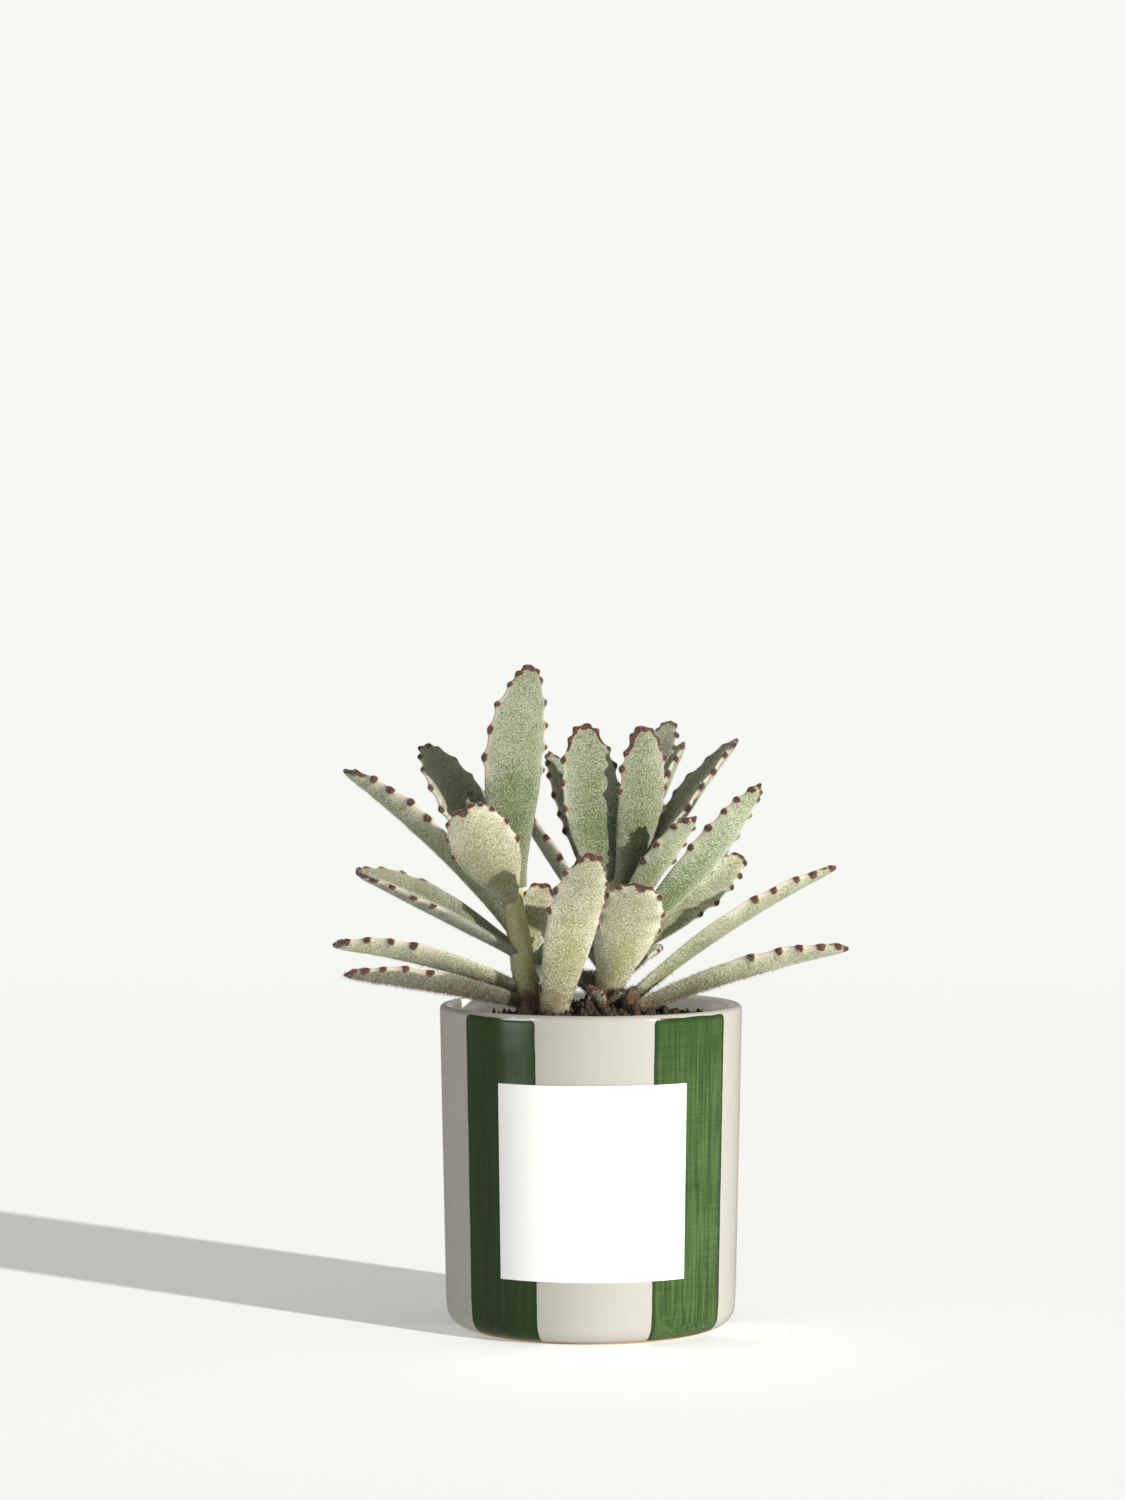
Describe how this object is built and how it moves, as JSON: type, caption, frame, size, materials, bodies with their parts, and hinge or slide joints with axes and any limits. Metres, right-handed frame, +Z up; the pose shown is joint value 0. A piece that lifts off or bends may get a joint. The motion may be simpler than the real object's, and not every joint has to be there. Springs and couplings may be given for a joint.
{
  "type": "potted panda plant",
  "caption": "Panda plant, a succulent with felted, tooth-edged grey-green leaves on short woody stems, growing in a glazed cylindrical pot with soil and a plain label",
  "frame": {"origin": "centre of the flat underside of the pot", "axes": "+Z up along the pot's axis, -Y to the front, where the label is, +X to the right as seen from the front"},
  "size_m": [0.2027, 0.1223, 0.2621],
  "materials": {
    "leaf_felt": "matte, felted",
    "stem_bark": "matte, downy",
    "soil": "matte, crumbly",
    "pot_glaze": "glossy glaze",
    "label_paper": "matte"
  },
  "bodies": {
    "root": {"pot": "pot_glaze", "label": "label_paper", "soil": "soil", "stem_left": "stem_bark", "stem_right": "stem_bark", "stem_shoot": "stem_bark", "stem_bud": "stem_bark", "leaf_left_01": "leaf_felt", "leaf_left_02": "leaf_felt", "leaf_left_03": "leaf_felt", "leaf_left_04": "leaf_felt", "leaf_left_05": "leaf_felt", "leaf_left_06": "leaf_felt", "leaf_left_07": "leaf_felt", "leaf_left_08": "leaf_felt", "leaf_left_09": "leaf_felt", "leaf_left_10": "leaf_felt", "leaf_left_11": "leaf_felt", "leaf_right_01": "leaf_felt", "leaf_right_02": "leaf_felt", "leaf_right_03": "leaf_felt", "leaf_right_04": "leaf_felt", "leaf_right_05": "leaf_felt", "leaf_right_06": "leaf_felt", "leaf_right_07": "leaf_felt", "leaf_right_08": "leaf_felt", "leaf_right_09": "leaf_felt", "leaf_right_10": "leaf_felt", "leaf_right_11": "leaf_felt", "leaf_right_12": "leaf_felt", "leaf_right_13": "leaf_felt", "leaf_right_14": "leaf_felt", "leaf_right_15": "leaf_felt", "leaf_right_16": "leaf_felt", "leaf_right_17": "leaf_felt", "leaf_shoot_01": "leaf_felt", "leaf_shoot_02": "leaf_felt", "leaf_bud_01": "leaf_felt", "leaf_bud_02": "leaf_felt"}
  },
  "joints": []
}
